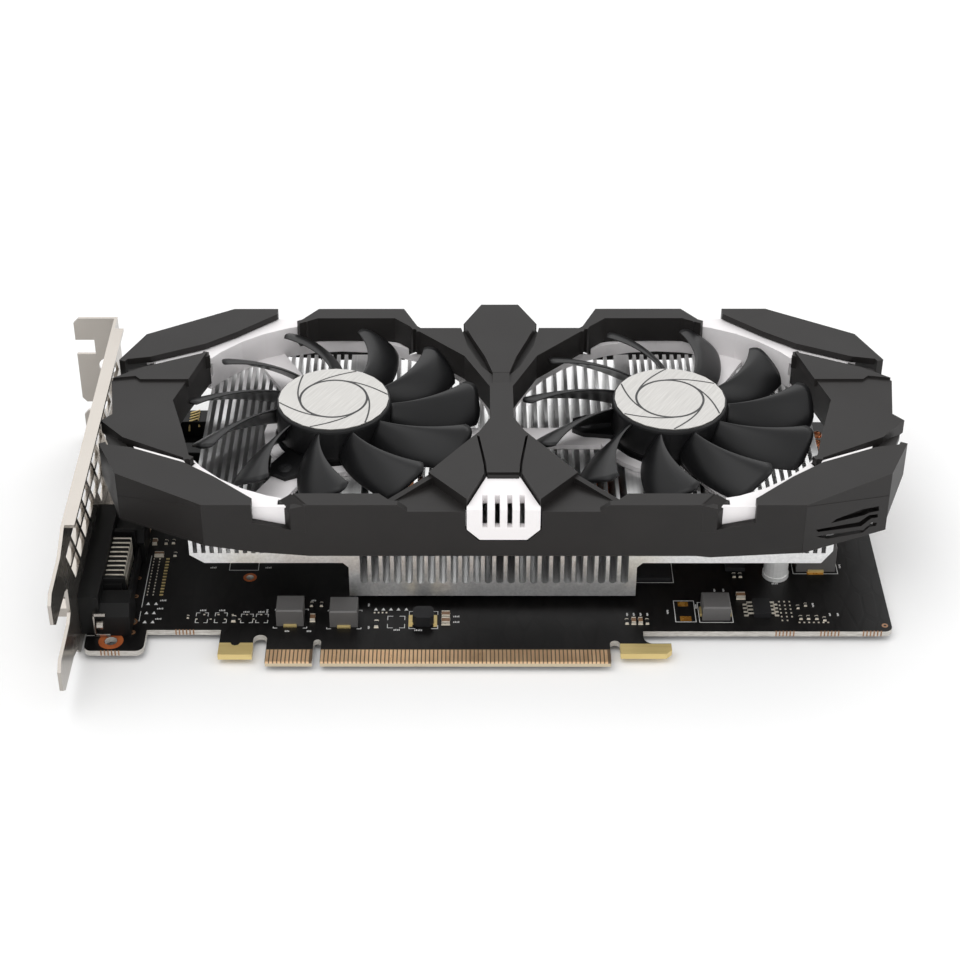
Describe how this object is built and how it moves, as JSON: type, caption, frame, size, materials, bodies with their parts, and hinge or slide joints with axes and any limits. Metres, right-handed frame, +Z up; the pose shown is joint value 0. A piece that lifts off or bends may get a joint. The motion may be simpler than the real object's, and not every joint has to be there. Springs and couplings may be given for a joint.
{
  "type": "graphics card",
  "caption": "Dual-fan graphics card lying on its back: slot bracket with display sockets, board with edge connector, finned heatsink and an angular black shroud with two spinning fans.",
  "frame": {"origin": "middle of the card's footprint, on the surface that the card lies on", "axes": "+X along the card, away from the slot bracket; +Y from the edge connector to the far edge; +Z up, from the circuit board to the fans"},
  "size_m": [0.2204, 0.1264, 0.0387],
  "materials": {
    "black_shell": "satin",
    "white_plastic": "satin",
    "fan_plastic": "satin",
    "board": "matt solder mask",
    "carrier": "matt",
    "chip": "matt moulded",
    "choke": "pressed ferrite",
    "can": "satin",
    "connector": "matt",
    "aluminium": "extruded",
    "copper": "copper",
    "winding": "enamelled copper",
    "hub_plate": "brushed",
    "magnet": "sintered",
    "bronze": "sintered bronze",
    "steel": "plated"
  },
  "bodies": {
    "card": {"circuit_board": "board", "processor_carrier": "carrier", "processor_die": "chip", "memory_chip_1": "chip", "memory_chip_2": "chip", "memory_chip_3": "chip", "memory_chip_4": "chip", "choke_1": "choke", "choke_2": "choke", "choke_4": "choke", "choke_5": "choke", "choke_6": "choke", "choke_3": "chip", "controller_chip": "chip", "capacitor_1": "can", "capacitor_2": "can", "capacitor_3": "can", "power_switch_1": "chip", "power_switch_2": "chip", "power_switch_3": "chip", "power_socket": "connector", "fan_header": "white_plastic", "dvi_socket_body": "connector", "dvi_socket_shell": "steel", "dvi_post_1": "steel", "dvi_post_2": "steel", "hdmi_socket": "steel", "display_socket": "steel", "slot_bracket": "steel", "heat_pipe_1": "copper", "heat_pipe_2": "copper", "heatsink": "aluminium", "shroud_shell": "black_shell", "side_armour_left": "black_shell", "side_armour_right": "black_shell", "badge": "white_plastic", "fan_frame": "white_plastic", "fan_base_left": "fan_plastic", "fan_stator_left": "winding", "fan_bearing_left": "bronze", "fan_base_right": "fan_plastic", "fan_stator_right": "winding", "fan_bearing_right": "bronze", "clamp_screw_1": "steel", "clamp_screw_2": "steel", "clamp_screw_3": "steel", "clamp_screw_4": "steel"},
    "fan_left": {"fan_rotor_left": "fan_plastic", "fan_magnet_left": "magnet", "fan_shaft_left": "steel", "fan_cap_plate_left": "hub_plate"},
    "fan_right": {"fan_rotor_right": "fan_plastic", "fan_magnet_right": "magnet", "fan_shaft_right": "steel", "fan_cap_plate_right": "hub_plate"}
  },
  "joints": [
    {"name": "fan_left_spin", "type": "hinge", "parent": "card", "child": "fan_left", "pos_m": [-0.03645, 0.0163, 0.03287], "axis": [0, 0, 1], "continuous": true},
    {"name": "fan_right_spin", "type": "hinge", "parent": "card", "child": "fan_right", "pos_m": [0.05085, 0.0163, 0.03287], "axis": [0, 0, 1], "continuous": true}
  ]
}
